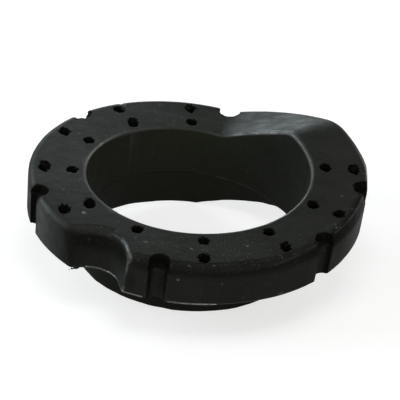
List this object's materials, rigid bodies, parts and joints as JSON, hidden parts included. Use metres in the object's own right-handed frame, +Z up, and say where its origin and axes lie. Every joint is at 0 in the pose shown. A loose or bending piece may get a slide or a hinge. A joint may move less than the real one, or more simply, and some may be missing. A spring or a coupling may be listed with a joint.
{
  "type": "coil spring insulator",
  "caption": "Moulded rubber ring with a helical seat and ramp for a coil spring's last turn, and a thin centring collar around its bore.",
  "frame": {"origin": "on the bore axis, level with the collar's lowest point", "axes": "+Z up along the bore axis, from the collar towards the seat; angles run from +X towards +Y, with the ramp between 30 and 73 degrees"},
  "size_m": [0.15, 0.15, 0.0581],
  "materials": {
    "rubber": "matte moulded rubber, dusty, with light surface marks"
  },
  "bodies": {
    "root": {"spring_insulator": "rubber"}
  },
  "joints": []
}
